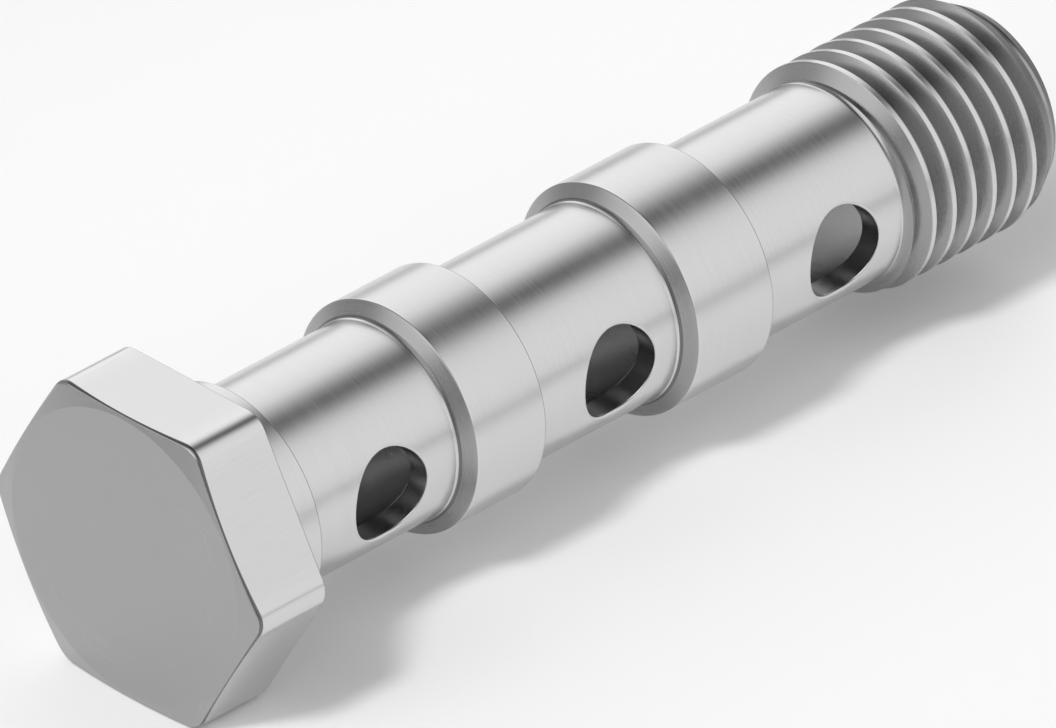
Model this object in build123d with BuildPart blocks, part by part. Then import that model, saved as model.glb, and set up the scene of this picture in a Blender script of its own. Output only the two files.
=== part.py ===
"""Banjo bolt for three stacked banjo fittings: hexagon head, three drilled waists, two collars, pipe thread.

Millimetres. The bolt's axis is +X, the thread points to +X and the head lies on the -X side. The origin is on the
axis in the plane of the head's bearing face. The head's flats face up and down, as on a bolt that lies on a bench.
"""
from build123d import *
from math import hypot, radians, tan
import os

os.makedirs("parts", exist_ok=True)

# Head
across_flats = 17.0      # spanner size
head_height = 4.9
corner_round = 1.4       # the six upright corners of the hexagon
chamfer_circle = 16.5    # where the turned chamfer leaves the flat top
chamfer_angle = 10.0     # from the top face
edge_round = 0.25        # between the chamfer and the flats
back_round = 0.06        # broken edge round the bearing face

# Shank, all turned in one setting
waist_dia = 11.3         # the oil runs round these
collar_dia = 13.1        # centres the sealing rings and the fittings
waist_length = 10.65     # the same between every pair of full diameters
cone_angle = 60.0        # of each lead-in cone, from the axis
foot_round = 0.35        # where a waist meets the next cone
land_round = 0.08        # broken edges of the collars

# Thread, a quarter-inch pipe thread's diameter and profile
thread_dia = 13.1        # crests, never larger than the collars, so that fittings slide on
thread_pitch = 1.51
thread_depth = 0.856
flank_angle = 27.5       # half of the 55 degree profile
crest_width = 0.307
thread_length = 11.66    # from the foot of its cone to the end of the bolt
end_chamfer_length = 1.9
end_face_dia = 10.9
first_crest = 1.59       # its head side past the cone's foot, measured straight below the axis

# Oil ways
bore_dia = 8.7
bore_floor = 5.2         # full diameter ends here, past the first cross hole
drill_point = 118.0
mouth_chamfer = 0.25
cross_dia = 5.1
first_cross = 8.69
cross_spacing = 16.61    # the height of one fitting in the stack, with its sealing ring
waist_1_lead = 5.89      # how far a waist reaches from its cross hole towards the head
waist_2_lead = 6.37
waist_3_lead = 6.27
rim_round = 0.12         # deburred rims of the cross holes

# Stations along the axis: the cross holes carry the waists, and what is left between those is full diameter
cone_run = (collar_dia - waist_dia) / 2 / tan(radians(cone_angle))
cross_stations = [first_cross + n * cross_spacing for n in range(3)]
shoulder_length = cross_stations[0] - waist_1_lead
collar_1_end = cross_stations[1] - waist_2_lead
collar_2_end = cross_stations[2] - waist_3_lead
collar_1_foot = shoulder_length + waist_length
collar_2_foot = collar_1_end + waist_length
thread_foot = collar_2_end + waist_length
bolt_end = thread_foot + thread_length
bore_tip = bore_floor - bore_dia / 2 / tan(radians(drill_point / 2))
print("bolt length under the head", round(bolt_end, 2), "cross holes at", [round(x, 2) for x in cross_stations])


def near(vertices, points):
    """The sketch's corners that lie on these (station, radius) points."""
    found = [v for v in vertices if any(abs(v.X - x) < 1e-4 and abs(v.Y - r) < 1e-4 for x, r in points)]
    print("corners to round", len(found), "of", len(points))
    return found


# The half section of the shank, from the head's inside to the thread's end
waist, land = waist_dia / 2, collar_dia / 2
feet = [(x, waist) for x in (collar_1_foot, collar_2_foot, thread_foot)]
land_edges = [
    (shoulder_length, land),
    (collar_1_foot + cone_run, land), (collar_1_end, land),
    (collar_2_foot + cone_run, land), (collar_2_end, land),
]
outline = [
    (-head_height / 2, 0), (-head_height / 2, land),
    land_edges[0], (shoulder_length, waist),
    feet[0], land_edges[1], land_edges[2], (collar_1_end, waist),
    feet[1], land_edges[3], land_edges[4], (collar_2_end, waist),
    feet[2], (thread_foot + cone_run, thread_dia / 2),
    (bolt_end - end_chamfer_length, thread_dia / 2), (bolt_end, end_face_dia / 2), (bolt_end, 0),
]
with BuildPart() as shank:
    with BuildSketch(Plane.XZ) as half_section:
        with BuildLine():
            Polyline(*outline, close=True)
        make_face()
        fillet(near(half_section.vertices(), feet), foot_round)
        fillet(near(half_section.vertices(), land_edges), land_round)
    revolve(axis=Axis.X)

# The groove's cutter: the space between two crests, carried along a helix about +Z and laid onto the axis below
groove_top = thread_pitch - crest_width
groove_floor = groove_top - 2 * thread_depth * tan(radians(flank_angle))
above = 0.05
over = above * tan(radians(flank_angle))
turns = 9.5
with BuildPart() as groove:
    with BuildLine() as path:
        Helix(pitch=thread_pitch, height=turns * thread_pitch, radius=thread_dia / 2)
    with BuildSketch(Plane(origin=path.line @ 0, x_dir=(1, 0, 0), z_dir=path.line % 0)):
        with BuildLine():
            Polyline(
                (above, groove_top / 2 + over), (-thread_depth, groove_floor / 2),
                (-thread_depth, -groove_floor / 2), (above, -groove_top / 2 - over), close=True,
            )
        make_face()
    sweep(path=path.line, is_frenet=True)

# Laid onto the axis, the helix starts a little past straight below it, in the free air over the last waist
start_angle = 55.0
groove_start = thread_foot + first_crest - groove_top / 2 + (start_angle / 360 - 2) * thread_pitch

# The head: a hexagon bar, faced and chamfered in the lathe
with BuildPart() as head:
    with BuildSketch(Plane.YZ.offset(-head_height)) as hexagon:
        RegularPolygon(across_flats / 2, 6, major_radius=False)
        fillet(hexagon.vertices(), corner_round)
    extrude(amount=head_height)
    reach = across_flats
    with BuildSketch(Plane.XZ):
        with BuildLine():
            Polyline(
                (-head_height, 0), (-head_height, chamfer_circle / 2),
                (-head_height + (reach - chamfer_circle / 2) * tan(radians(chamfer_angle)), reach),
                (0, reach), (0, 0), close=True,
            )
        make_face()
    revolve(axis=Axis.X, mode=Mode.INTERSECT)
    # the edges between the chamfer and the sides, all round
    brim = [e for e in head.edges() if across_flats / 2 - 0.01 < hypot(e.center().Y, e.center().Z)
            and -head_height + 0.01 < e.center().X < -head_height / 2 - 0.5]
    fillet(brim, edge_round)
    fillet(head.edges().filter_by_position(Axis.X, -0.01, 0.01), back_round)

with BuildPart() as banjo_bolt:
    add(shank.part)
    with Locations(Location((groove_start, 0, 0), (0, 90, 0)) * Location((0, 0, 0), (0, 0, start_angle))):
        add(groove.part, mode=Mode.SUBTRACT)
    add(head.part)
    # the axial bore with its drill point, and its broken mouth
    with BuildSketch(Plane.XZ):
        with BuildLine():
            Polyline(
                (bore_tip, 0), (bore_floor, bore_dia / 2), (bolt_end - mouth_chamfer, bore_dia / 2),
                (bolt_end, bore_dia / 2 + mouth_chamfer), (bolt_end + 1, bore_dia / 2 + mouth_chamfer + 1),
                (bolt_end + 1, 0), close=True,
            )
        make_face()
    revolve(axis=Axis.X, mode=Mode.SUBTRACT)
    # one hole straight through each waist
    with BuildSketch(Plane.XZ) as crossings:
        with Locations(*[(x, 0) for x in cross_stations]):
            Circle(cross_dia / 2)
    extrude(amount=collar_dia, both=True, mode=Mode.SUBTRACT)
    # the rims of the cross holes lie on the waists' surface, near the plane z = 0
    rims = [e for e in banjo_bolt.edges() if e.geom_type != GeomType.CIRCLE and e.geom_type != GeomType.LINE
            and any(abs(e.center().X - x) < cross_dia for x in cross_stations)
            and all(abs(hypot((e @ t).Y, (e @ t).Z) - waist) < 1e-3 for t in (0, 0.3, 0.7, 1))]
    print("edges at the hexagon's brim", len(brim), "and at the cross holes' rims", len(rims))
    fillet(rims, rim_round)

banjo_bolt.part.label = "banjo_bolt"
export_step(banjo_bolt.part, "parts/banjo_bolt.step")
print("volume", round(banjo_bolt.part.volume, 1), "box", banjo_bolt.part.bounding_box())
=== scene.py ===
# %% [markdown]
# # A banjo bolt, dressed for the camera
# A banjo bolt is a hollow bolt. Oil comes in at its open end, runs along a bore in the middle, and leaves
# through the cross holes into ring-shaped fittings that are stacked on its shank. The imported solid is
# loaded first, as the frame that everything else keeps to. The frame and the scene are in metres.

# %% Load the frame
import math

import bmesh
import bpy
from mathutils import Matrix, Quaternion, Vector
from mathutils.geometry import delaunay_2d_cdt


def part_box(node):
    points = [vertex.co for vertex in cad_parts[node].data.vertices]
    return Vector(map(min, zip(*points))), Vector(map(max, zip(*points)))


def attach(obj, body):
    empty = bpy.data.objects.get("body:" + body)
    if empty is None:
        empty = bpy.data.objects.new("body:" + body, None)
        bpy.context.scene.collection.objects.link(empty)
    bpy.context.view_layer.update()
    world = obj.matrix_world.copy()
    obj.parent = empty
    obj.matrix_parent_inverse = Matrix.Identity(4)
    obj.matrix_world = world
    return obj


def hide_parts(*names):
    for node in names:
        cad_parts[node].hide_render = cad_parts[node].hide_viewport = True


MM = 0.001

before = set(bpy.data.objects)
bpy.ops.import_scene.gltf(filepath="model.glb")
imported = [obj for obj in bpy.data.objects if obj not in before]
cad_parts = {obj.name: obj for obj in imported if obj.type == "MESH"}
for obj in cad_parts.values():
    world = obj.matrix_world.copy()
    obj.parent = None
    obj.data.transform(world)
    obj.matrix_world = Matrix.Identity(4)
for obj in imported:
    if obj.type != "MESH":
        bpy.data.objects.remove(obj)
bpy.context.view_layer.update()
LOW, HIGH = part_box("banjo_bolt")
print("the solid reaches from", [round(v / MM, 2) for v in LOW], "to", [round(v / MM, 2) for v in HIGH])

# %% [markdown]
# ## The shape, in mesh code
# The solid's own mesh has long thin triangles, and satin metal shows each of them as a streak. So the
# bolt is skinned again, in rings of small faces that follow the way it is made: a turned outline, a
# hexagon, round holes and a helical groove. Every corner of every face gets the normal of the surface it
# lies on, which keeps reflections clean however large the faces are. The head's chamfer is the one
# exception, and its cell says why. First come the sizes, in millimetres.

# %% Sizes of the head
FLAT = 8.5                  # from the axis to each flat
HEAD_HEIGHT = 4.9
CORNER_ROUND = 1.4          # the six upright corners
CHAMFER_RADIUS = 8.25       # where the turned chamfer leaves the end face
CHAMFER_SLOPE = math.tan(math.radians(10))
BRIM_ROUND = 0.12           # between the chamfer and a flat, at mid-flat
CORNER_BRIM_ROUND = 0.26    # the same at a corner
BACK_ROUND = 0.06           # broken edge round the bearing face
print("the head is", 2 * FLAT, "mm across its flats")

# %% Sizes of the shank
WAIST, LAND = 5.65, 6.55    # radii of the waists, and of the collars and the thread's crests
WAIST_LENGTH = 10.65
CROSS_STATIONS = (8.69, 25.30, 41.91)
WAIST_LEADS = (5.89, 6.37, 6.27)    # how far each waist reaches from its cross hole towards the head
CONE_RUN = (LAND - WAIST) / math.tan(math.radians(60))     # along the axis, from a waist up to full diameter
FOOT_ROUND, LAND_ROUND = 0.35, 0.08     # at the foot of each cone, and on the collars' edges
CROSS = 2.55                # a cross hole's radius
RIM_ROUND, INNER_RIM_ROUND = 0.12, 0.04     # of a cross hole, outside and in the bore
BORE, BORE_FLOOR = 4.35, 5.2            # its radius, and where full diameter ends under the head
MOUTH = 0.25                # broken edge of the bore
THREAD_FOOT = CROSS_STATIONS[2] - WAIST_LEADS[2] + WAIST_LENGTH
THREAD_LENGTH = 11.66
BOLT_END = THREAD_FOOT + THREAD_LENGTH
END_CHAMFER, END_RADIUS = 1.9, 5.45     # the chamfer's length at the thread's end, and its smaller radius
print("the bolt's end lies", round(BOLT_END, 2), "mm under the head")

# %% [markdown]
# A skin collects points and faces. It turns each face so that it looks the way its normals say, so the
# rings can be joined in any order. Every ring has a point in each of the columns that run along the bolt.

# %% The skin
COLUMNS = 240
COLUMN = 360 / COLUMNS


class Skin:
    """Points, faces, the normal at each corner of each face, and each face's finish."""

    def __init__(self):
        self.points, self.faces, self.normals, self.finishes = [], [], [], []

    def point(self, x, y, z):
        self.points.append(Vector((x, y, z)))
        return len(self.points) - 1

    def face(self, corners, normals, finish):
        first, last = (self.points[corners[k]] for k in (0, -1))
        across = (self.points[corners[2]] - first).cross(last - self.points[corners[1]])
        if across.dot(sum(normals, Vector())) < 0:
            corners, normals = corners[::-1], normals[::-1]
        self.faces.append(corners)
        self.normals.extend(normals)
        self.finishes.append(finish)

    def band(self, low, high, low_normals, high_normals, finish):
        """Faces between two closed rings of as many points."""
        count = len(low)
        for j in range(count):
            k = (j + 1) % count
            self.face([low[j], low[k], high[k], high[j]],
                      [low_normals[j], low_normals[k], high_normals[k], high_normals[j]], finish)


def spoke(degrees):
    """The direction away from the axis at an angle from +Y towards +Z."""
    turn = math.radians(degrees)
    return Vector((0, math.cos(turn), math.sin(turn)))


SPOKES = [spoke(j * COLUMN) for j in range(COLUMNS)]


def ring(skin, x, radius):
    return [skin.point(x, *(s * radius).yz) for s in SPOKES]


def tilted(along, outward):
    """The normals of a turned surface, from their share along the axis and away from it."""
    size = math.hypot(along, outward)
    return [Vector((along, 0, 0)) / size + s * (outward / size) for s in SPOKES]


# %% [markdown]
# A turned outline is a list of corners, each with the radius of its rounding. Rounded corners become
# short steps on an arc, and both ends of a step carry the arc's own normal. The way a step faces also
# says which finish it gets: the diameters, the cones, the round at the foot of a cone, or a collar's
# broken far edge.

# %% A turned outline
def outline_steps(corners, arc_steps=4):
    """(start, end, normal at start, normal at end) along an outline of (x, radius, rounding) corners."""
    made, last = [], Vector(corners[0][:2])
    for n in range(1, len(corners)):
        here = Vector(corners[n][:2])
        before = (here - Vector(corners[n - 1][:2])).normalized()
        side = Vector((-before.y, before.x))
        rounding = corners[n][2]
        if n == len(corners) - 1 or rounding == 0:
            made.append((last, here, side, side))
            last = here
            continue
        after = (Vector(corners[n + 1][:2]) - here).normalized()
        bend = before.angle_signed(after)
        reach = rounding * math.tan(abs(bend) / 2)
        start = here - before * reach
        made.append((last, start, side, side))
        hub = start - side * math.copysign(rounding, bend)
        last, last_side = start, side
        for k in range(1, arc_steps + 1):
            turn = -bend * k / arc_steps
            new_side = Vector((side.x * math.cos(turn) - side.y * math.sin(turn),
                               side.x * math.sin(turn) + side.y * math.cos(turn)))
            point = hub + new_side * math.copysign(rounding, bend)
            made.append((last, point, last_side, new_side))
            last, last_side = point, new_side
    return made


FOOT_TILT, CONE_TILT, LEVEL_TILT = -0.7, -0.5, -0.01


def turned_kind(normal, end_normal):
    """The finish of a step on the turned outline, by how far its normals tilt along the axis."""
    # painted shade: the round at a cone's foot gets the dark rolled steel in its crease, and cones and
    # broken far edges get steels darkened as painted reflection
    if end_normal.x < normal.x and end_normal.x < FOOT_TILT:
        return "rolled"
    if normal.x < CONE_TILT:
        return "coned"
    if end_normal.x > normal.x > LEVEL_TILT:
        return "broken"
    return "turned"


def turn_outline(skin, start_ring, corners, finish):
    """Skins an outline from a ring that is already there, and gives back the last ring."""
    for start, end, normal, end_normal in outline_steps(corners):
        end_ring = ring(skin, end.x, end.y)
        kind = turned_kind(normal, end_normal) if finish == "turned" else finish
        skin.band(start_ring, end_ring, tilted(*normal), tilted(*end_normal), kind)
        start_ring = end_ring
    return start_ring


# %% [markdown]
# ## A drilled wall
# Oil leaves the bolt through three holes that go straight across it, one in each waist. A round hole
# through a round wall has a saddle-shaped rim. A Boolean modifier would cut it, but it leaves thin
# triangles round the rim, just where the light catches. So the rows of faces leave a rectangular window
# round each hole, and a patch of rings leads from the window's outline to the rim. The rim is rounded as
# a ball would roll round it, and the hole's wall goes in to the bore, where the same is done from inside.

# %% Windows
WINDOW = 3.6                # half the length of a window in a waist, in mm
WINDOW_ROWS = 28
WINDOW_COLUMNS = 28         # half its width, in columns
HOLE_POINTS = 2 * WINDOW_ROWS + 4 * WINDOW_COLUMNS
print("points round each cross hole", HOLE_POINTS)


def windowed(skin, first, radius, stations, half, facing, finish):
    """Rows of faces at stations, with a window of 2 * half columns on +Y and on -Y.

    Gives back the last ring and the two windows' outlines, whose points have their places as
    (x, degrees from the window's middle).
    """
    rows = [list(first)] + [[None] * COLUMNS for _ in stations[1:]]

    def at(i, j):
        if rows[i][j % COLUMNS] is None:
            rows[i][j % COLUMNS] = skin.point(stations[i], *(SPOKES[j % COLUMNS] * radius).yz)
        return rows[i][j % COLUMNS]

    middles = (0, COLUMNS // 2)
    for i in range(len(stations) - 1):
        for j in range(COLUMNS):
            if any(-half <= (j - m + COLUMNS // 2) % COLUMNS - COLUMNS // 2 < half for m in middles):
                continue
            normals = [SPOKES[j] * facing, SPOKES[(j + 1) % COLUMNS] * facing]
            skin.face([at(i, j), at(i, j + 1), at(i + 1, j + 1), at(i + 1, j)],
                      [normals[0], normals[1], normals[1], normals[0]], finish)
    top, outlines = len(stations) - 1, []
    for m in middles:
        path = [(top, j) for j in range(half)] + [(i, half) for i in range(top, 0, -1)]
        path += [(0, j) for j in range(half, -half, -1)] + [(i, -half) for i in range(top)]
        path += [(top, j) for j in range(-half, 0)]
        outlines.append([(at(i, m + j), stations[i], j * COLUMN) for i, j in path])
    return [at(top, j) for j in range(COLUMNS)], outlines


def patch(skin, outline, rim, radius, side, facing, finish, rim_points=None, rings=7):
    """Rings on the cylinder from a window's outline to the rim, which is a list of (x, degrees)."""
    def normals(degrees):
        return [spoke(d) * (side * facing) for d in degrees]

    ring_points, turns = [p[0] for p in outline], [p[2] for p in outline]
    for n in range(1, rings + 1):
        share = 1 - (1 - n / rings) ** 1.5
        places = [(p[1] + (r[0] - p[1]) * share, p[2] + (r[1] - p[2]) * share)
                  for p, r in zip(outline, rim)]
        if n == rings and rim_points:
            new = rim_points
        else:
            new = [skin.point(x, *(spoke(d) * (radius * side)).yz) for x, d in places]
        new_turns = [d for _, d in places]
        skin.band(ring_points, new, normals(turns), normals(new_turns), finish)
        ring_points, turns = new, new_turns
    return ring_points


# %% A rolled edge
def rounding(skin, first, hubs, start_normals, end_normals, radius, finish, steps=5):
    """A rolled edge: rings about the hubs, from one surface's normals to the next one's."""
    before = start_normals
    for n in range(1, steps + 1):
        after = [a.slerp(b, n / steps) for a, b in zip(start_normals, end_normals)]
        new = [skin.point(*(h + a * radius)) for h, a in zip(hubs, after)]
        skin.band(first, new, before, after, finish)
        first, before = new, after
    return first


# %% One cross hole
WALL_STEPS = 6


def cross_hole(skin, station, side, outer_outline, inner_outline):
    """The hole from its window in the waist to its window in the bore. side is 1 on +Y and -1 on -Y."""
    turns = [2 * math.pi * k / HOLE_POINTS for k in range(HOLE_POINTS)]

    def hubs(reach, radius):
        """Centres of a ball that rolls round an edge: reach from the hole's axis, radius from the bolt's."""
        across = [(reach * math.cos(t), reach * math.sin(t)) for t in turns]
        return [Vector((station + x, side * math.sqrt(radius ** 2 - z ** 2), side * z)) for x, z in across]

    def away(points):
        return [Vector((0, p.y, p.z)).normalized() for p in points]

    def rim(points):
        return [(p.x, math.degrees(math.atan2(side * p.z, side * p.y))) for p in points]

    inward = [Vector((-math.cos(t), 0, -math.sin(t) * side)) for t in turns]
    outer = hubs(CROSS + RIM_ROUND, WAIST - RIM_ROUND)
    inner = hubs(CROSS + INNER_RIM_ROUND, BORE + INNER_RIM_ROUND)
    edge = patch(skin, outer_outline, rim(outer), WAIST, side, 1, "turned")
    edge = rounding(skin, edge, outer, away(outer), inward, RIM_ROUND, "turned")
    wall_start = [hub + way * RIM_ROUND for hub, way in zip(outer, inward)]
    wall_end = [hub + way * INNER_RIM_ROUND for hub, way in zip(inner, inward)]
    for n in range(1, WALL_STEPS + 1):
        new = [skin.point(*a.lerp(b, n / WALL_STEPS)) for a, b in zip(wall_start, wall_end)]
        skin.band(edge, new, inward, inward, "drilled")
        edge = new
    back = [-a for a in away(inner)]
    edge = rounding(skin, edge, inner, inward, back, INNER_RIM_ROUND, "turned", steps=3)
    patch(skin, inner_outline, rim(inner), BORE, side, -1, "bored", rim_points=edge)


# %% [markdown]
# ## The thread
# The thread is cut into the blank as one helical groove. A Screw modifier could sweep the groove's
# profile, but such a thread ends in a step. The real groove runs out over the lead-in cone and over the
# end chamfer. So the blank's outline and the groove's profile each give a radius at every place, and the
# thread is the lower of the two. Their creases are straight lines on the unrolled surface, so they are
# drawn flat, filled with triangles there, and rolled up.

# %% Groove and blank
PITCH, DEPTH, CREST = 1.51, 0.856, 0.307    # CREST is a crest's width
FLANK_RUN = DEPTH * math.tan(math.radians(27.5))
FIRST_CREST = 1.59          # its head side past the cone's foot, straight below the axis
BLANK_START = THREAD_FOOT - 0.6     # here the last waist's rings end and the rolled-up triangles start
GROOVE_TURNS = range(-3, 10)    # more turns than reach from the foot to the end, at every angle
EXACT = 1e-9                # two sums nearer than this are equal
NEAR = 1e-4                 # two places nearer than this are the same, in mm or degrees
MERGED = 2e-5               # points nearer than this become one when the creases are filled


def blank_corners():
    return [(BLANK_START, WAIST, 0), (THREAD_FOOT, WAIST, FOOT_ROUND), (THREAD_FOOT + CONE_RUN, LAND, 0),
            (BOLT_END - END_CHAMFER, LAND, 0), (BOLT_END, END_RADIUS, 0)]


GROOVE = [(0, LAND), (CREST, LAND), (CREST + FLANK_RUN, LAND - DEPTH), (PITCH - FLANK_RUN, LAND - DEPTH),
          (PITCH, LAND)]
print("crests", PITCH, "mm apart and", DEPTH, "mm high")


# %% Creases
def crest_start(degrees):
    """Where the first crest's head side lies at this turn, counted from +Y towards +Z."""
    return THREAD_FOOT + FIRST_CREST + PITCH * (degrees + 90) / 360


def clip(line, low, high, limits):
    """The part of a line (turn0, x0, turn1, x1) within limits, for a value that runs from low to high."""
    shares = [0.0, 1.0]
    if abs(high - low) > EXACT:
        ends = sorted((bound - low) / (high - low) for bound in limits)
        shares = [max(shares[0], ends[0]), min(shares[1], ends[1])]
    elif not limits[0] - EXACT <= low <= limits[1] + EXACT:
        return None
    if shares[1] - shares[0] < EXACT:
        return None
    t0, x0, t1, x1 = line
    return tuple(v for s in shares for v in (t0 + (t1 - t0) * s, x0 + (x1 - x0) * s))


def level(pieces, radius):
    """The first and last station where the blank reaches this radius."""
    found = []
    for (x0, r0), (x1, r1) in pieces:
        if min(r0, r1) - EXACT <= radius <= max(r0, r1) + EXACT:
            even = abs(r1 - r0) < EXACT
            found += [x0, x1] if even else [x0 + (x1 - x0) * (radius - r0) / (r1 - r0)]
    return min(found), max(found)


def crease_lines(pieces):
    """Every crease on the unrolled surface, as straight lines from one (turn, x) to another."""
    lines = [(0, x, 360, x) for x in [p[0][0] for p in pieces] + [BOLT_END]]
    for k in GROOVE_TURNS:
        start = crest_start(0) + k * PITCH
        for u, radius in GROOVE[:-1]:
            line = (0, start + u, 360, start + u + PITCH)
            lines.append(clip(line, line[1], line[3], level(pieces, radius)))
        for (x0, r0), (x1, r1) in pieces:
            rise = (r1 - r0) / (x1 - x0)
            for (u0, g0), (u1, g1) in zip(GROOVE, GROOVE[1:]):
                slope = (g1 - g0) / (u1 - u0)
                if abs(rise) < EXACT or abs(rise - slope) < EXACT:
                    continue
                ends = [(g0 - r0 + rise * x0 - slope * (s + u0)) / (rise - slope)
                        for s in (start, start + PITCH)]
                line = clip((0, ends[0], 360, ends[1]), ends[0], ends[1], (x0, x1))
                if line:
                    inside = [x - start - PITCH * t / 360 for t, x in (line[:2], line[2:])]
                    lines.append(clip(line, *inside, (u0, u1)))
    return [line for line in lines if line]


def cut_at_columns(line):
    """The line's places at its ends and at every column between them."""
    t0, x0, t1, x1 = line
    turns = [t0] + [j * COLUMN for j in range(COLUMNS + 1) if t0 + NEAR < j * COLUMN < t1 - NEAR] + [t1]
    return [(t, x0 + (x1 - x0) * (t - t0) / (t1 - t0)) for t in turns]


# %% Fill the unrolled thread and roll it up
UNROLLED = LAND * 2 * math.pi / 360     # mm round the crests for one degree
SEAM = COLUMN / 100                     # the unrolled surface's two ends meet within this many degrees
CUT = 1e-5                              # where the groove is lower than the blank by this, it was cut
SLOPED = 0.45                           # a normal that leans along the axis by more is on a slope


def blank_steps():
    return outline_steps(blank_corners(), arc_steps=3)


def blank_at(steps, x):
    """The blank's radius at x, and its normal there as (along, outward)."""
    start, end, normal, end_normal = next((s for s in steps if x <= s[1].x + EXACT), steps[-1])
    share = (x - start.x) / (end.x - start.x)
    return start.y + (end.y - start.y) * share, normal.lerp(end_normal, share)


def groove_at(turn, x):
    """The groove's radius at a place, and its slope along the axis."""
    u = (x - crest_start(turn)) % PITCH
    (u0, g0), (u1, g1) = next((p, q) for p, q in zip(GROOVE, GROOVE[1:]) if u <= q[0] + EXACT)
    slope = (g1 - g0) / (u1 - u0)
    return g0 + slope * (u - u0), slope


def thread_triangles():
    """The unrolled thread's corners as (turn, x), and its triangles."""
    pieces = [(tuple(s[0]), tuple(s[1])) for s in blank_steps()]
    places, edges = [], []
    for line in crease_lines(pieces):
        first = len(places)
        cuts = cut_at_columns(line)
        places += [Vector((t * UNROLLED, x - BLANK_START)) for t, x in cuts]
        edges += [(first + n, first + n + 1) for n in range(len(cuts) - 1)]
    corners, _, triangles, *_ = delaunay_2d_cdt(places, edges, [], 0, MERGED)
    return [(c.x / UNROLLED, c.y + BLANK_START) for c in corners], triangles


def thread(skin, first):
    """Rolls the thread up, from the last ring of the waist to the end of the bolt."""
    steps = blank_steps()
    places, triangles = thread_triangles()
    seam = {n: x for n, (turn, x) in enumerate(places) if turn < SEAM}
    index, last = [None] * len(places), [None] * COLUMNS
    for n, (turn, x) in sorted(enumerate(places), key=lambda place: place[1]):
        column = int(round(turn / COLUMN)) % COLUMNS
        if abs(x - BLANK_START) < NEAR:
            index[n] = first[column]
        elif turn > 360 - SEAM:
            index[n] = index[min(seam, key=lambda m: abs(seam[m] - x))]
        else:
            radius = min(blank_at(steps, x)[0], groove_at(turn, x)[0])
            index[n] = skin.point(x, *(spoke(turn) * radius).yz)
        if abs(x - BOLT_END) < NEAR:
            last[column] = index[n]
    for triangle in triangles:
        corners = [index[k] for k in triangle]
        if len(set(corners)) < 3:
            continue
        turn, x = (sum(places[k][axis] for k in triangle) / 3 for axis in (0, 1))
        blank, groove = blank_at(steps, x)[0], groove_at(turn, x)
        normals, finish = [], "turned"
        for t, s in (places[k] for k in triangle):
            along, outward, round_axis = *blank_at(steps, s)[1], 0.0
            if groove[0] < blank - CUT:
                finish = "threaded"
                twist = groove[1] * PITCH / (2 * math.pi * groove_at(t, s)[0])
                along, outward, round_axis = -groove[1], 1.0, twist
            elif abs(along) > SLOPED:
                finish = "coned" if along < 0 else "chamfered"
            out = spoke(t)
            normals.append((Vector((along, 0, 0)) + out * outward + spoke(t + 90) * round_axis).normalized())
        skin.face(corners, normals, finish)
    return last


# %% [markdown]
# ## The head
# The head is hexagon bar with rounded corners. The lathe chamfers its end, so the chamfer runs out
# towards each mid-flat and leaves a crescent at each corner. A six-sided cylinder with a Bevel modifier
# has no such crescents, so each ring is placed by the bar's outline and the chamfer's cone. The edge
# between them is given a much darker steel, a painted shade that shows as a dark line, wider at the
# corners. The crescents are faint on so flat a chamfer, so its normals lean further than its surface
# does. This brings them out without a change to the shape.

# %% The hexagon's outline
ARC_COLUMNS = 7             # on half a rounded corner
SECTOR = COLUMNS // 6


def hexagon():
    """For each column, a point of the hexagon's outline and the direction away from its flat."""
    hub = (FLAT - CORNER_ROUND) / math.cos(math.radians(30))
    made = []
    for j in range(COLUMNS):
        corner, k = divmod(j, SECTOR)
        if k <= ARC_COLUMNS:
            angle = 30 * k / ARC_COLUMNS
            place, side = spoke(0) * hub + spoke(angle) * CORNER_ROUND, spoke(angle)
        elif k >= SECTOR - ARC_COLUMNS:
            angle = 60 - 30 * (SECTOR - k) / ARC_COLUMNS
            place, side = spoke(60) * hub + spoke(angle) * CORNER_ROUND, spoke(angle)
        else:
            share = (k - ARC_COLUMNS) / (SECTOR - 2 * ARC_COLUMNS)
            ends = [spoke(a) * hub + spoke(30) * CORNER_ROUND for a in (0, 60)]
            place, side = ends[0].lerp(ends[1], share), spoke(30)
        turn = Quaternion((1, 0, 0), math.radians(60 * corner))
        made.append((turn @ place, turn @ side))
    return made


# %% The head's faces
CHAMFER_SHEEN = math.tan(math.radians(15))      # how far the chamfer's normals lean
BRIM_STEPS = 5
PAINTED_DARK_STEPS = 3                                  # of those, the ones given a dark steel as painted shade
FACE_RINGS = (6.0, 3.5, 1.2)                    # radii


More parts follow.
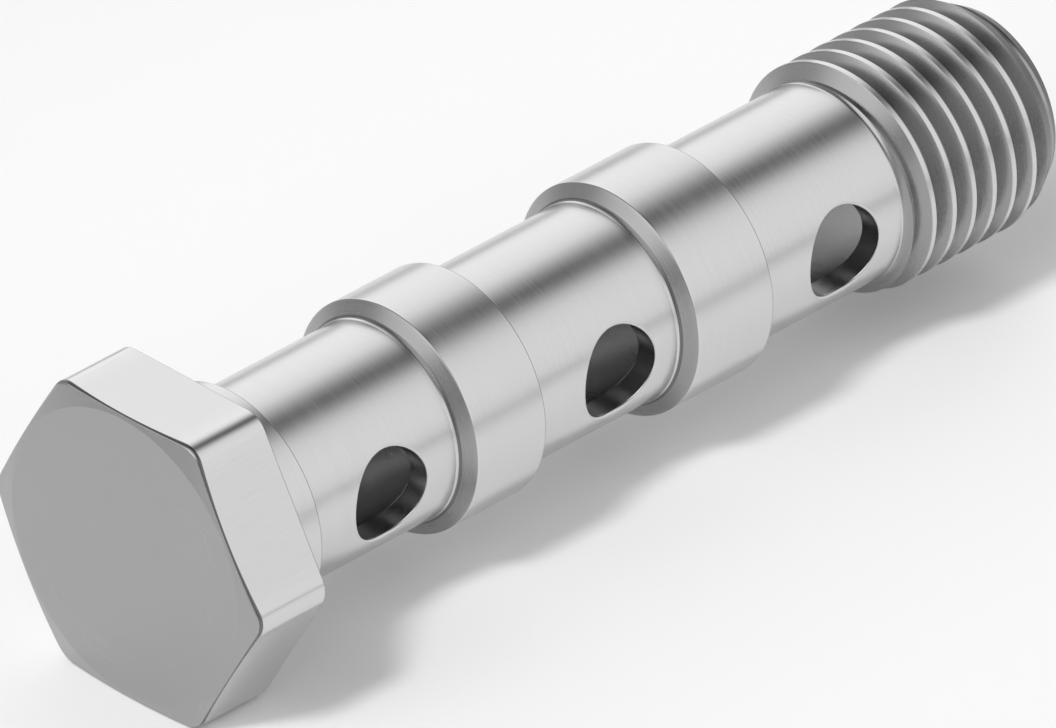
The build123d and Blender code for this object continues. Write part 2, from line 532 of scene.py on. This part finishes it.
def head(skin, shoulder):
    """The bearing face, the six sides, the rolled edge, the chamfer and the end face."""
    outline = hexagon()
    forward, axis = [Vector((1, 0, 0))] * COLUMNS, [Vector((-1, 0, 0))] * COLUMNS
    sides = [side for _, side in outline]
    last = [skin.point(*(place - side * BACK_ROUND)) for place, side in outline]
    skin.band(shoulder, last, forward, forward, "turned")
    hubs = [place - side * BACK_ROUND - forward[0] * BACK_ROUND for place, side in outline]
    last = rounding(skin, last, hubs, forward, sides, BACK_ROUND, "broken", steps=3)
    brim, reach = [], max(place.length for place, _ in outline)
    for place, side in outline:
        slope = math.atan(CHAMFER_SLOPE * side.dot(place.normalized()))
        bend = math.pi / 2 - slope
        radius = BRIM_ROUND + (CORNER_BRIM_ROUND - BRIM_ROUND) * (place.length - FLAT) / (reach - FLAT)
        height = HEAD_HEIGHT - (place.length - CHAMFER_RADIUS) * CHAMFER_SLOPE
        brim.append((place, side, bend, height - radius * math.tan(bend / 2), radius))
    for step in range(BRIM_STEPS + 1):
        new, normals = [], []
        for place, side, bend, height, radius in brim:
            turn = bend * step / BRIM_STEPS
            spot = place - side * (radius * (1 - math.cos(turn)))
            new.append(skin.point(-height - radius * math.sin(turn), spot.y, spot.z))
            normals.append(side * math.cos(turn) + axis[0] * math.sin(turn))
        # painted shade: the first steps round the brim get the dark rolled steel
        finish = "drawn" if step == 0 else "rolled" if step <= PAINTED_DARK_STEPS else "faced"
        skin.band(last, new, sides if step == 0 else before, normals, finish)
        last, before = new, normals
    spokes = [Vector((0, *skin.points[p].yz)).normalized() for p in last]
    cone = [(Vector((-1, 0, 0)) + s * CHAMFER_SHEEN).normalized() for s in spokes]
    for radius, facing in [(CHAMFER_RADIUS, cone)] + [(radius, axis) for radius in FACE_RINGS]:
        new = [skin.point(-HEAD_HEIGHT, *(s * radius).yz) for s in spokes]
        skin.band(last, new, facing, facing, "faced")
        last = new
    middle = skin.point(-HEAD_HEIGHT, 0, 0)
    for j in range(COLUMNS):
        skin.face([last[j], last[(j + 1) % COLUMNS], middle], axis[:3], "faced")


# %% [markdown]
# ## The bore
# The bore is drilled from the thread's end, and stops under the head in the drill's cone. It is skinned
# as the outside is, with normals that look towards the axis. Its windows have as many points round them
# as those in the waists, so that each cross hole joins the two point by point.

# %% The bore
DRILL_SLOPE = math.tan(math.radians(59))    # of a drill's 118 degree point
BORE_WINDOW = 3.3           # half the length of a window in the bore, in mm
BORE_WINDOW_ROWS = 16
BORE_WINDOW_COLUMNS = (HOLE_POINTS - 2 * BORE_WINDOW_ROWS) // 4
print("columns in half a window in the bore", BORE_WINDOW_COLUMNS)


def bore(skin, end):
    """The drill's cone, the bore with its windows, the broken mouth and the end face.

    Gives back the windows' outlines.
    """
    floor, inward = ring(skin, BORE_FLOOR, BORE), [-s for s in SPOKES]
    tip, cone = skin.point(BORE_FLOOR - BORE / DRILL_SLOPE, 0, 0), tilted(1, -1 / DRILL_SLOPE)
    for j in range(COLUMNS):
        k = (j + 1) % COLUMNS
        skin.face([floor[j], floor[k], tip], [cone[j], cone[k], (cone[j] + cone[k]).normalized()], "bored")
    last, outlines = floor, []
    for station in CROSS_STATIONS:
        near = station - BORE_WINDOW
        start = ring(skin, near, BORE)
        skin.band(last, start, inward, inward, "bored")
        stations = [near + 2 * BORE_WINDOW * n / BORE_WINDOW_ROWS for n in range(BORE_WINDOW_ROWS + 1)]
        last, found = windowed(skin, start, BORE, stations, BORE_WINDOW_COLUMNS, -1, "bored")
        outlines.append(found)
    mouth = turn_outline(skin, end, [(BOLT_END, END_RADIUS, 0), (BOLT_END, BORE + MOUTH, 0)], "faced")
    # seen along the bore's wall, the air is on the axis's side, so this outline runs towards the head
    mouth = turn_outline(skin, mouth, [(BOLT_END, BORE + MOUTH, 0), (BOLT_END - MOUTH, BORE, 0)], "bored")
    skin.band(last, mouth, inward, inward, "bored")
    return outlines


# %% [markdown]
# ## The whole bolt
# The outside is skinned from the head to the thread's end, and each stretch starts from the last ring of
# the one before. The bore is skinned from its floor to its mouth, where it meets the thread's end, and
# the cross holes join it to the outside. So the skin is closed, as the surface of a solid piece of metal
# is.

# %% The whole bolt
def skin_bolt():
    skin = Skin()
    shoulder = ring(skin, 0, LAND)
    head(skin, shoulder)
    last, start, outer = shoulder, [(0, LAND, 0)], []
    for station, lead in zip(CROSS_STATIONS, WAIST_LEADS):
        near, far = station - WINDOW, station + WINDOW
        waist, foot = station - lead, station - lead + WAIST_LENGTH
        corners = start + [(waist, LAND, LAND_ROUND), (waist, WAIST, 0), (near, WAIST, 0)]
        last = turn_outline(skin, last, corners, "turned")
        stations = [near + (far - near) * n / WINDOW_ROWS for n in range(WINDOW_ROWS + 1)]
        last, found = windowed(skin, last, WAIST, stations, WINDOW_COLUMNS, 1, "turned")
        outer.append(found)
        start = [(far, WAIST, 0), (foot, WAIST, FOOT_ROUND), (foot + CONE_RUN, LAND, LAND_ROUND)]
    last = turn_outline(skin, last, [start[0], (BLANK_START, WAIST, 0)], "turned")
    inner = bore(skin, thread(skin, last))
    for station, waist_windows, bore_windows in zip(CROSS_STATIONS, outer, inner):
        for side, window, bore_window in zip((1, -1), waist_windows, bore_windows):
            cross_hole(skin, station, side, window, bore_window)
    return skin


SKIN = skin_bolt()
print("points", len(SKIN.points), "faces", len(SKIN.faces))


# %% [markdown]
# Blender makes a mesh from points and faces. It would work out its own normals, and these would bend a
# little at every edge of a flat, so the skin's normals are handed over as custom ones. Each face is told
# its material by the way it was cut. A closed mesh has no edge with one face only, which is counted
# further down, once the bolt is there.

# %% From a skin to a mesh
def build_mesh(skin, name, materials):
    """A piece with the skin's faces and normals. materials gives each finish its material."""
    mesh = bpy.data.meshes.new(name)
    mesh.from_pydata([p * MM for p in skin.points], [], skin.faces)
    for material in materials.values():
        mesh.materials.append(material)
    order = list(materials)
    mesh.polygons.foreach_set("material_index", [order.index(finish) for finish in skin.finishes])
    mesh.polygons.foreach_set("use_smooth", [True] * len(skin.faces))
    mesh.normals_split_custom_set(skin.normals)
    piece = bpy.data.objects.new(name, mesh)
    bpy.context.scene.collection.objects.link(piece)
    return piece


def count_flaws(mesh):
    """Edges that don't join exactly two faces, points that no face uses, and the volume in cubic mm."""
    copy = bmesh.new()
    copy.from_mesh(mesh)
    flaws = sum(not e.is_manifold for e in copy.edges), sum(not v.link_faces for v in copy.verts)
    volume = copy.calc_volume() / MM ** 3
    copy.free()
    return flaws, volume


# %% [markdown]
# ## Shader maths as plain sums
# A material is a graph of nodes. Written node by node it is hard to read, so a small class stands for one
# output of a node and turns +, -, * and / into Math nodes. The second class holds the graph and makes any
# other node in one call.

# %% One socket with arithmetic
class Wire:
    """The output of a node, as a number that sums can use."""

    def __init__(self, graph, socket):
        self.graph, self.socket = graph, socket

    def sum(self, operation, *others, clamp=False):
        values = dict(enumerate((self, *others)))
        return self.graph.node("ShaderNodeMath", {"operation": operation, "use_clamp": clamp}, values)

    def __add__(self, other):
        return self.sum("ADD", other)

    def __sub__(self, other):
        return self.sum("SUBTRACT", other)

    def __mul__(self, other):
        return self.sum("MULTIPLY", other)

    def __truediv__(self, other):
        return self.sum("DIVIDE", other)

    def __rsub__(self, other):
        return self.graph.node("ShaderNodeMath", {"operation": "SUBTRACT"}, {0: other, 1: self})

    __radd__, __rmul__ = __add__, __mul__


# %% One graph of nodes
class Graph:
    """The nodes of one material or of the world."""

    def __init__(self, owner):
        owner.use_nodes = True
        self.tree = owner.node_tree
        self.tree.nodes.clear()

    def node(self, kind, settings=None, inputs=None, out=0):
        made = self.tree.nodes.new(kind)
        for name, value in (settings or {}).items():
            if name == "stops":
                self.stops(made.color_ramp, value)
            else:
                setattr(made, name, value)
        for name, value in (inputs or {}).items():
            if isinstance(value, Wire):
                self.tree.links.new(value.socket, made.inputs[name])
            else:
                made.inputs[name].default_value = value
        return Wire(self, made.outputs[out]) if made.outputs else made

    @staticmethod
    def stops(ramp, values):
        while len(ramp.elements) > 1:
            ramp.elements.remove(ramp.elements[-1])
        for n, (place, grey) in enumerate(values):
            stop = ramp.elements[0] if n == 0 else ramp.elements.new(place)
            stop.position = place
            stop.color = (grey, grey, grey, 1)

    def step(self, value, low, high):
        """A soft step from 0 at low to 1 at high."""
        return self.node("ShaderNodeMapRange", {"interpolation_type": "SMOOTHSTEP"},
                         {0: value, 1: low, 2: high, 3: 0.0, 4: 1.0})


# %% [markdown]
# ## The finish: satin steel
# The whole bolt is one piece of steel, and its surfaces differ by how they were cut. Several are also
# darkened, some as painted reflection and some as painted shade, as the table of steels says. A cutter
# leaves lines that run its way: rings round the axis where the bolt turned in the lathe, streaks along the
# hexagon's flats, which are still the drawn bar's skin, lines along the groove of the thread, and rings
# round its own axis in each drilled hole. The lines could come from a picture, but a picture needs an
# unwrapped surface and shows its pixels close up. Here they are noise along one length, so each material
# first asks where a point lies.

# %% Where a point lies
def place_on_bolt(g):
    """A point's x, y and z and its distance from the bolt's axis, in millimetres."""
    seat = g.node("ShaderNodeTexCoord", None, None, out="Object")
    parts = g.node("ShaderNodeSeparateXYZ", None, {"Vector": seat})
    x, y, z = (Wire(g, socket) * (1 / MM) for socket in parts.socket.node.outputs)
    return x, y, z, (y * y + z * z).sum("SQRT")


def lines(g, length, per_mm, detail=2.0):
    """Fine lines across a length, as a number about 0."""
    return g.node("ShaderNodeTexNoise", {"noise_dimensions": "1D"},
                  {"W": length, "Scale": per_mm, "Detail": detail, "Roughness": 0.6}) - 0.5


def cloud(g, x, y, z, per_mm, detail=3.0):
    """Soft patches, as a number about 0. The three scales may differ, which draws the patches out."""
    place = g.node("ShaderNodeCombineXYZ", None, {0: x * per_mm[0], 1: y * per_mm[1], 2: z * per_mm[2]})
    return g.node("ShaderNodeTexNoise", None, {"Vector": place, "Scale": 1.0, "Detail": detail}) - 0.5


# %% [markdown]
# Each way of cutting is a short function. It gives the cutter's marks, and where the edges have been
# rubbed bright: on the collars' edges by the sealing rings, and on the hexagon's corners by the spanner.
# A place near an edge is found from its distance along the bolt or away from its axis, so no mask has to
# be painted.

# %% Rubbed edges
def beside(length, places, reach):
    """1 at any of the places along a length, fading to 0 at this reach."""
    nearest = None
    for place in places:
        distance = (length - place).sum("ABSOLUTE")
        nearest = distance if nearest is None else nearest.sum("MINIMUM", distance)
    return 1 - nearest.graph.step(nearest, 0.0, reach)


# where each waist starts, and where the cone behind it has reached full diameter
LAND_EDGES = [station - lead + shift for station, lead in zip(CROSS_STATIONS, WAIST_LEADS)
              for shift in (0, WAIST_LENGTH + CONE_RUN)]
print("edges rubbed bright at", [round(x, 2) for x in LAND_EDGES])


# %% The ways of cutting
def turned(g, x, y, z, radius):
    feed = x + radius
    marks = lines(g, feed, per_mm=6.0) + 0.5 * lines(g, feed, per_mm=1.3)
    return marks, beside(x, LAND_EDGES, reach=0.22) * g.step(radius, LAND - 0.3, LAND - 0.02)


def drawn(g, x, y, z, radius):
    marks = cloud(g, x, y, z, per_mm=(0.5, 6.0, 6.0), detail=2.0)
    return marks, g.step(radius, 8.9, 9.7)


def faced(g, x, y, z, radius):
    marks = 0.6 * lines(g, radius, per_mm=4.0, detail=1.0) + 0.6 * lines(g, radius, per_mm=1.1)
    return marks, g.step(radius, 9.2, 9.7)


def threaded(g, x, y, z, radius):
    """The lines follow the groove: the length across it starts again at each turn, so no seam shows."""
    along_turn = z.sum("ARCTAN2", y) / (2 * math.pi)
    across = (x / PITCH - along_turn).sum("FRACT")
    marks = lines(g, across, per_mm=12.0) + 0.6 * cloud(g, x, y, z, per_mm=(0.8, 0.8, 0.8))
    return marks, g.step(radius, LAND - 0.12, LAND)


def drilled(g, x, y, z, radius):
    marks = lines(g, y + 0.15 * z, per_mm=5.0)
    return marks, g.step(radius, WAIST - 0.25, WAIST)


def bored(g, x, y, z, radius):
    return lines(g, x + radius, per_mm=4.0), g.step(x, BOLT_END - 0.4, BOLT_END)


# %% [markdown]
# A mark shows in three ways: it is a little lighter or darker, a little rougher or smoother, and it tilts
# the surface. Fingers and oil add soft patches to the roughness. The Bump node takes heights, so the
# marks are written as a few ten-thousandths of a millimetre. Where an edge is rubbed, it is lighter and
# smoother.

# %% Satin steel
TINT = (-0.004, 0, 0.006)   # a darker place is a trace colder, a lighter one warmer
SPREAD = 0.07               # how much lighter or darker than the middle tone a place may be


def satin_steel(name, tone, roughness, cut, height):
    """A steel whose middle tone and roughness are given, cut one way. height is the marks' depth in mm."""
    material = bpy.data.materials.new(name)
    g = Graph(material)
    x, y, z, radius = place_on_bolt(g)
    marks, rubbed = cut(g, x, y, z, radius)
    handled = cloud(g, x, y, z, per_mm=(0.3, 0.3, 0.3))
    share = (0.5 + 0.45 * marks + 0.35 * handled + 0.3 * rubbed).sum("ADD", 0, clamp=True)
    dark, light = (tuple(tone * (1 + sign * SPREAD) * (1 - sign * c) for c in TINT) for sign in (-1, 1))
    ends = {"Factor": share, "A": (*dark, 1), "B": (*light, 1)}
    colour = g.node("ShaderNodeMix", {"data_type": "RGBA"}, ends, out="Result")
    rough = roughness * (1 + 0.3 * marks + 0.35 * handled - 0.25 * rubbed)
    bump = g.node("ShaderNodeBump", None, {"Strength": 1.0, "Distance": height * MM, "Height": marks})
    bsdf = g.node("ShaderNodeBsdfPrincipled", None, {
        "Base Color": colour, "Metallic": 1.0, "Roughness": rough, "Normal": bump,
    })
    g.node("ShaderNodeOutputMaterial", None, {"Surface": bsdf})
    return material


# %% [markdown]
# The turned diameters and the bar's own skin are the brightest. The cones, the rounded edges, the thread,
# the end chamfer and the end face look darker on the real bolt, partly because they were cut rougher and
# partly because they mirror something dark. Here a pale floor lies where they look, so their darker
# tones are painted reflection, and at the round in a cone's foot also painted shade in the crease. The
# cross holes' walls are rougher, and their darker tone is painted shade inside the holes.

# %% A steel for each way of cutting, several darkened as painted shade
CUTS_AND_PAINTED_SHADE = {    # middle tone, roughness, marks, depth of the marks in mm
    "turned": (0.65, 0.235, turned, 0.0004),
    # painted reflection: coned, broken, rolled and chamfered steel are darkened for the dark they would
    # mirror, and rolled also as painted shade in the crease at a cone's foot
    "coned": (0.36, 0.26, turned, 0.0004),
    "broken": (0.26, 0.26, turned, 0.0004),
    "rolled": (0.18, 0.26, turned, 0.0004),
    "chamfered": (0.12, 0.3, turned, 0.0004),
    # painted reflection: the thread's and the end face's steels are darkened for the dark they would mirror
    "threaded": (0.385, 0.27, threaded, 0.0005),
    "drawn": (0.65, 0.24, drawn, 0.0005),
    "faced": (0.4, 0.25, faced, 0.0003),
    # painted shade: the cross holes' walls are darkened for the shade inside them, besides their rougher
    # finish
    "drilled": (0.34, 0.3, drilled, 0.0006),
    "bored": (0.62, 0.3, bored, 0.0006),
}
STEELS = {finish: satin_steel(finish + "_steel", *cut) for finish, cut in CUTS_AND_PAINTED_SHADE.items()}
BOLT = build_mesh(SKIN, "satin_bolt", STEELS)
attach(BOLT, "root")
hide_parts("banjo_bolt")
FLAWS, VOLUME = count_flaws(BOLT.data)
print("open edges and loose points", FLAWS, "volume", round(VOLUME), "cubic millimetres")

# %% [markdown]
# ## The stage
# The bolt lies on a plain pale floor with one flat of its head down. A floor mirrors in bare metal, so
# its tone matters as much as a lamp. Away from the bolt the paper is painted a little greyer, a painted
# fall-off of the light, so that the head's end and the cones, which mirror it, don't turn as pale as
# the floor under them.

# %% Floor
PAPER, PAINTED_FALLOFF = 0.9, 0.15                 # its tone, and how much painted shade greys it away from the bolt
UNDER_BOLT = (0.04, 0.01)               # the middle of the paper's painted pool of light
PAINTED_FALLOFF_RADII = (0.04, 0.12)              # where the painted shade starts and where it is full, from that middle, in metres


def make_floor(height, reach=6.0):
    mesh = bpy.data.meshes.new("floor")
    sides = ((-reach, -reach), (reach, -reach), (reach, reach), (-reach, reach))
    mesh.from_pydata([(x, y, height) for x, y in sides], [], [(0, 1, 2, 3)])
    floor = bpy.data.objects.new("floor", mesh)
    bpy.context.scene.collection.objects.link(floor)
    material = bpy.data.materials.new("pale_floor")
    g = Graph(material)
    seat = g.node("ShaderNodeTexCoord", None, None, out="Object")
    away = g.node("ShaderNodeVectorMath", {"operation": "DISTANCE"},
                  {0: seat, 1: Vector((*UNDER_BOLT, height))}, out=1)
    # painted shade: the paper greys with the distance from the bolt, as light falling off would grey it
    paper = PAPER - PAINTED_FALLOFF * g.step(away, *PAINTED_FALLOFF_RADII)
    bsdf = g.node("ShaderNodeBsdfPrincipled", None, {
        "Base Color": paper, "Roughness": 0.9, "Specular IOR Level": 0.1,
    })
    g.node("ShaderNodeOutputMaterial", None, {"Surface": bsdf})
    mesh.materials.append(material)
    return floor


FLOOR = make_floor(LOW.z)
print("the floor lies", round(LOW.z / MM, 2), "mm under the axis")

# %% [markdown]
# ## Light
# Bare metal shows little else than its surroundings, so the world is a studio that is drawn for what each
# face mirrors. Two long soft boxes run along the bolt, one behind it and one in front, with a dark gap
# between them overhead. Low beyond the head's end they give way to an even grey with one soft glow, which
# the upper parts of the cones mirror. The high part of the sky over the head shows in the metal only
# along narrow rounded edges. It is dimmed, so that it doesn't wash out the shadow on the floor, and a
# round glow in it throws that shadow softly.

# %% The sky over the bolt
# brightness from the horizon behind the bolt, at 0 degrees, up over it to the one in front, at 180
HORIZON_TO_HORIZON = (
    (0, 0.38), (8, 0.87), (16, 1.0), (25, 0.99), (40, 0.965), (50, 0.92), (58, 0.88), (66, 0.72), (74, 0.46),
    (82, 0.22), (90, 0.09), (98, 0.18), (106, 0.43), (114, 0.655), (122, 0.76), (132, 0.79), (150, 0.805),
    (165, 0.785), (180, 0.74),
)
BOXES = 1.246                           # strength of the soft boxes
GREY, GLOW = 0.5, 0.85                  # strengths low beyond the head's end
GLOW_SIDE, GLOW_FADES = (-0.91, 0.29, 0.30), (0.86, 0.995)
DIMMED = 0.7                            # the share that is taken away high over the head
HIGH_GLOW = 1.5                         # strength of the round glow there
HIGH_GLOW_SIDE, HIGH_GLOW_FADES = (-0.70, -0.10, 0.70), (0.84, 0.96)
print("brightest soft box", BOXES * max(grey for _, grey in HORIZON_TO_HORIZON))


def toward(g, where, direction):
    """1 where the sky lies in this direction, and less the further it is from there."""
    return g.node("ShaderNodeVectorMath", {"operation": "DOT_PRODUCT"},
                  {0: where, 1: Vector(direction).normalized()}, out=1)


# %% World
def make_world():
    world = bpy.data.worlds.new("studio")
    bpy.context.scene.world = world
    g = Graph(world)
    where = g.node("ShaderNodeTexCoord")
    parts = g.node("ShaderNodeSeparateXYZ", None, {0: where})
    x, y, z = (Wire(g, socket) for socket in parts.socket.node.outputs)
    turn = z.sum("ARCTAN2", y) * (180 / math.pi)
    share = g.node("ShaderNodeMapRange", None, {0: turn, 1: 0, 2: 180, 3: 0.0, 4: 1.0})
    stops = [(degrees / 180, grey) for degrees, grey in HORIZON_TO_HORIZON]
    boxes = g.node("ShaderNodeValToRGB", {"stops": stops}, {0: share})
    # the boxes reach down to the horizon on the thread's side, and stay high on the head's side
    thread_side = g.step(x, -0.45, 0.1)
    mask = thread_side + (1 - thread_side) * g.step(z, 0.25, 0.65)
    low = GREY + GLOW * g.step(toward(g, where, GLOW_SIDE), *GLOW_FADES) * g.step(z, 0.0, 0.2)
    kept = 1 - DIMMED * (1 - g.step(x, 0.1, 0.4)) * g.step(z, 0.4, 0.7)
    above = HIGH_GLOW * g.step(toward(g, where, HIGH_GLOW_SIDE), *HIGH_GLOW_FADES)
    strength = (boxes * BOXES * mask + low * (1 - mask)) * kept + above
    ground = g.node("ShaderNodeBackground", None, {"Color": (1, 1, 1, 1), "Strength": strength})
    g.node("ShaderNodeOutputWorld", None, {"Surface": ground})
    return world


WORLD = make_world()
print("nodes in the world", len(WORLD.node_tree.nodes))

# %% [markdown]
# One soft lamp over the head lights a pool on the paper, so that the floor near the bolt is white. It
# isn't seen in the metal, where it would show as a small hard spot.

# %% Lamp
BOLT_MIDDLE = (0.027, 0, 0)


def make_lamp(name, side, distance, softness, pool, power):
    """A soft round lamp, distance away on one side, that lights a pool of this radius. Metres and watts."""
    lamp = bpy.data.lights.new(name, "SPOT")
    lamp.energy, lamp.shadow_soft_size = power, softness
    lamp.spot_size, lamp.spot_blend = 2 * math.atan(pool / distance), 1.0
    holder = bpy.data.objects.new(name, lamp)
    bpy.context.scene.collection.objects.link(holder)
    direction = Vector(side).normalized()
    holder.location = Vector(BOLT_MIDDLE) + direction * distance
    holder.rotation_mode = "QUATERNION"
    holder.rotation_quaternion = direction.to_track_quat("Z", "Y")
    holder.visible_glossy = False
    return holder


LAMP = make_lamp("key_lamp", side=(-0.6, -0.1, 0.79), distance=1.2, softness=0.12, pool=0.16, power=36.5)
print("the lamp's cone is", round(math.degrees(LAMP.data.spot_size), 1), "degrees wide")

# %% [markdown]
# ## Camera
# The photograph was taken from above the head's end with a long lens, which hardly makes the far end
# smaller. The camera's direction, distance and lens were fitted to the places of edges and holes in the
# picture. It is moved a little to the left and down, which frames the bolt as it is there.

# %% Camera
PICTURE_WIDTH = 1056                    # pixels
FOCAL_PIXELS = 20476                    # the lens, counted in the picture's pixels
SENSOR = 0.036
AZIMUTH, ELEVATION = math.radians(-45.127), math.radians(32.07)
AIM = 30.077                            # the place on the axis that the camera looks past, in mm
AWAY, LEFT, DOWN = 1061.5, 4.171, 3.354     # from there to the camera, in mm


def make_camera():
    back = Vector((math.sin(AZIMUTH) * math.cos(ELEVATION), -math.cos(AZIMUTH) * math.cos(ELEVATION),
                   math.sin(ELEVATION)))
    right = Vector((math.cos(AZIMUTH), math.sin(AZIMUTH), 0))
    up = back.cross(right)
    camera = bpy.data.objects.new("camera", bpy.data.cameras.new("camera"))
    bpy.context.scene.collection.objects.link(camera)
    camera.data.sensor_width = SENSOR * 1000
    camera.data.lens = SENSOR * 1000 * FOCAL_PIXELS / PICTURE_WIDTH
    camera.data.clip_start, camera.data.clip_end = 0.1, 20
    camera.location = Vector((AIM, 0, 0)) * MM + back * AWAY * MM - right * LEFT * MM - up * DOWN * MM
    camera.rotation_mode = "QUATERNION"
    camera.rotation_quaternion = (-back).to_track_quat("-Z", "Y")
    bpy.context.scene.camera = camera
    return camera


CAMERA = make_camera()
bpy.context.scene.view_settings.view_transform = "Standard"
print("lens", round(CAMERA.data.lens), "mm, camera", round(CAMERA.location.length, 2), "m away")
